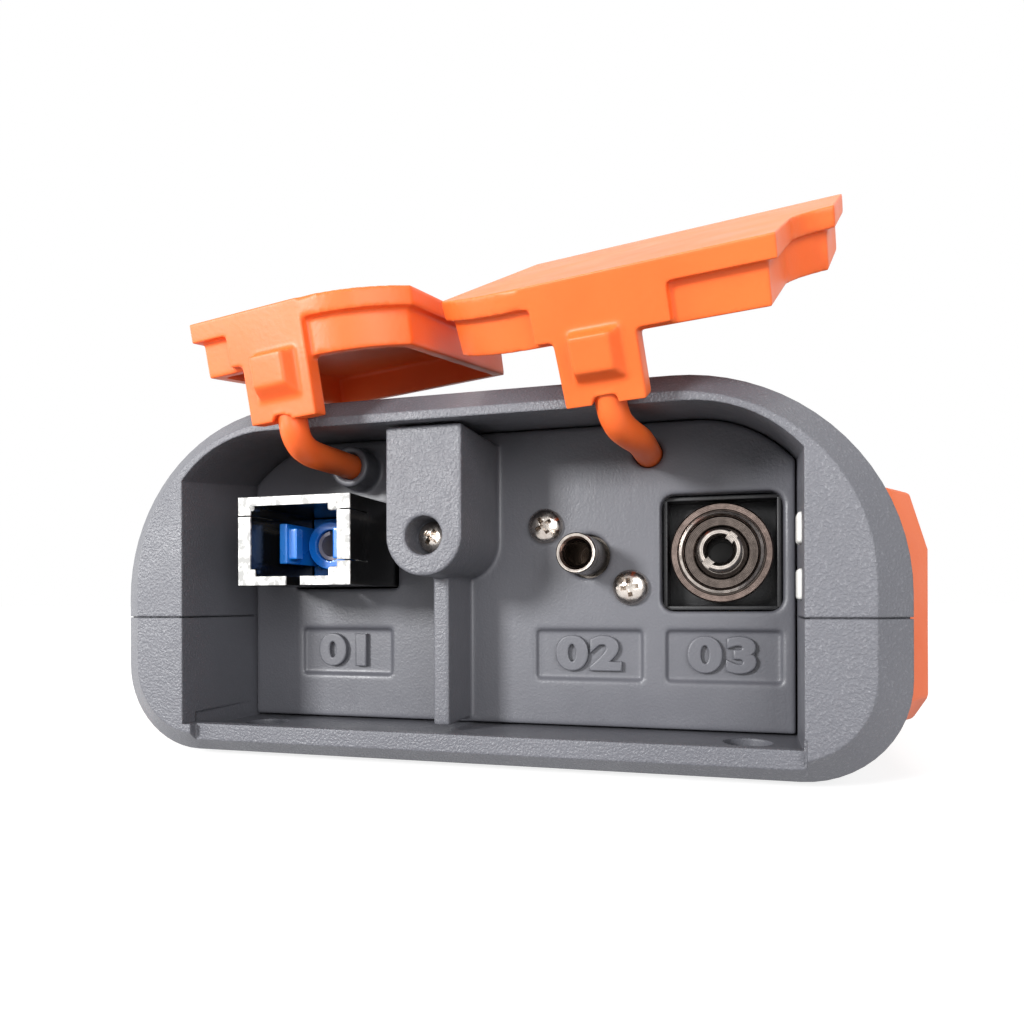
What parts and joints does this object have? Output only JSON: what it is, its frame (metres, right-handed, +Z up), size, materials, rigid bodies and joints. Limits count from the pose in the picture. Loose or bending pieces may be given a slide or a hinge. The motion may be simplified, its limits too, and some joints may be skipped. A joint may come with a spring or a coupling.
{
  "type": "optical time domain reflectometer",
  "caption": "Handheld fibre test instrument lying on its back, with a recessed port bay at one end, rubber port caps folded open, side grips, screen and keypad.",
  "frame": {"origin": "centre of the plane that the instrument rests on, on its back", "axes": "+Z up out of the screen side, -Y out of the port face, +X to the right seen from the port face"},
  "size_m": [0.0856, 0.1675, 0.0573],
  "materials": {
    "shell_grey": "fine spark-eroded texture",
    "panel_grey": "fine moulded texture",
    "orange_rubber": "satin moulded rubber",
    "grip_rubber": "satin moulded rubber",
    "black_rubber": "matt",
    "key_rubber": "matt silicone",
    "nickel": "bright nickel plate",
    "steel_screw": "bright zinc plate",
    "warm_metal": "turned, satin",
    "blue_plastic": "gloss",
    "ceramic": "polished zirconia",
    "black_plastic": "satin",
    "lens_glass": "polished",
    "circuit_board": "solder mask",
    "chip_black": "matt epoxy",
    "tin_can": "tin plate",
    "foam": "closed-cell foam",
    "cell_wrap": "shrink sleeve",
    "fibre_yellow": "smooth jacket",
    "brass": "turned",
    "white_plastic": "satin",
    "flex_orange": "polyimide film",
    "light_pipe": "clear"
  },
  "bodies": {
    "root": {"top_shell": "shell_grey", "bottom_shell": "shell_grey", "port_panel": "panel_grey", "side_grip_left": "grip_rubber", "side_grip_right": "grip_rubber", "panel_screw": "steel_screw", "case_screws": "steel_screw", "rubber_feet": "black_rubber", "sc_adapter_shell": "nickel", "sc_adapter_insert": "blue_plastic", "sc_split_sleeve": "ceramic", "sc_retaining_clip": "steel_screw", "inner_fibre_plug": "blue_plastic", "opm_port": "nickel", "opm_screws": "steel_screw", "opm_detector": "tin_can", "vfl_cup": "black_plastic", "vfl_port": "warm_metal", "vfl_laser": "brass", "otdr_tether": "orange_rubber", "meter_tether": "orange_rubber", "screen_lens": "lens_glass", "screen_gasket": "foam", "lcd_module": "tin_can", "keypad_mat": "key_rubber", "keypad_board": "circuit_board", "status_light_pipes": "light_pipe", "main_board": "circuit_board", "board_spacers": "brass", "board_screws": "steel_screw", "shield_can": "tin_can", "board_chips": "chip_black", "lcd_foam_pads": "foam", "keypad_connector": "white_plastic", "buzzer": "chip_black", "lcd_flex": "flex_orange", "lcd_flex_socket": "white_plastic", "optical_engine": "black_plastic", "fibre_tray": "white_plastic", "fibre_pigtail": "fibre_yellow", "splice_sleeve": "light_pipe", "battery_cells": "cell_wrap", "battery_cradle": "black_plastic", "usb_socket": "nickel", "usb_cover_anchor": "black_rubber"},
    "otdr_cap": {"otdr_cap": "orange_rubber"},
    "meter_cap": {"meter_cap": "orange_rubber"},
    "usb_cover": {"usb_cover": "black_rubber"},
    "power_key": {"power_key": "key_rubber"},
    "back_key": {"back_key": "key_rubber"},
    "test_key": {"test_key": "key_rubber"},
    "light_key": {"light_key": "key_rubber"},
    "ok_key": {"ok_key": "key_rubber"},
    "arrow_up_key": {"arrow_up_key": "key_rubber"},
    "arrow_down_key": {"arrow_down_key": "key_rubber"},
    "arrow_left_key": {"arrow_left_key": "key_rubber"},
    "arrow_right_key": {"arrow_right_key": "key_rubber"}
  },
  "joints": [
    {"name": "otdr_cap_fold", "type": "hinge", "parent": "root", "child": "otdr_cap", "pos_m": [-0.01602, -0.08112, 0.0318], "axis": [1, 0, 0], "range_deg": [-4, 100], "stiffness_Nm_per_rad": 0.012},
    {"name": "meter_cap_fold", "type": "hinge", "parent": "root", "child": "meter_cap", "pos_m": [0.01512, -0.0796, 0.0318], "axis": [1, 0, 0], "range_deg": [-8, 100], "stiffness_Nm_per_rad": 0.012},
    {"name": "usb_cover_fold", "type": "hinge", "parent": "root", "child": "usb_cover", "pos_m": [0, 0.0785, 0.01922], "axis": [-1, 0, 0], "range_deg": [0, 100], "stiffness_Nm_per_rad": 0.002},
    {"name": "power_key_press", "type": "slide", "parent": "root", "child": "power_key", "axis": [0, 0, -1], "range_m": [0, 0.0005], "stiffness_N_per_m": 1200},
    {"name": "back_key_press", "type": "slide", "parent": "root", "child": "back_key", "axis": [0, 0, -1], "range_m": [0, 0.0005], "stiffness_N_per_m": 1200},
    {"name": "test_key_press", "type": "slide", "parent": "root", "child": "test_key", "axis": [0, 0, -1], "range_m": [0, 0.0005], "stiffness_N_per_m": 1200},
    {"name": "light_key_press", "type": "slide", "parent": "root", "child": "light_key", "axis": [0, 0, -1], "range_m": [0, 0.0005], "stiffness_N_per_m": 1200},
    {"name": "ok_key_press", "type": "slide", "parent": "root", "child": "ok_key", "axis": [0, 0, -1], "range_m": [0, 0.0005], "stiffness_N_per_m": 1200},
    {"name": "arrow_up_key_press", "type": "slide", "parent": "root", "child": "arrow_up_key", "axis": [0, 0, -1], "range_m": [0, 0.0005], "stiffness_N_per_m": 1200},
    {"name": "arrow_down_key_press", "type": "slide", "parent": "root", "child": "arrow_down_key", "axis": [0, 0, -1], "range_m": [0, 0.0005], "stiffness_N_per_m": 1200},
    {"name": "arrow_left_key_press", "type": "slide", "parent": "root", "child": "arrow_left_key", "axis": [0, 0, -1], "range_m": [0, 0.0005], "stiffness_N_per_m": 1200},
    {"name": "arrow_right_key_press", "type": "slide", "parent": "root", "child": "arrow_right_key", "axis": [0, 0, -1], "range_m": [0, 0.0005], "stiffness_N_per_m": 1200}
  ]
}
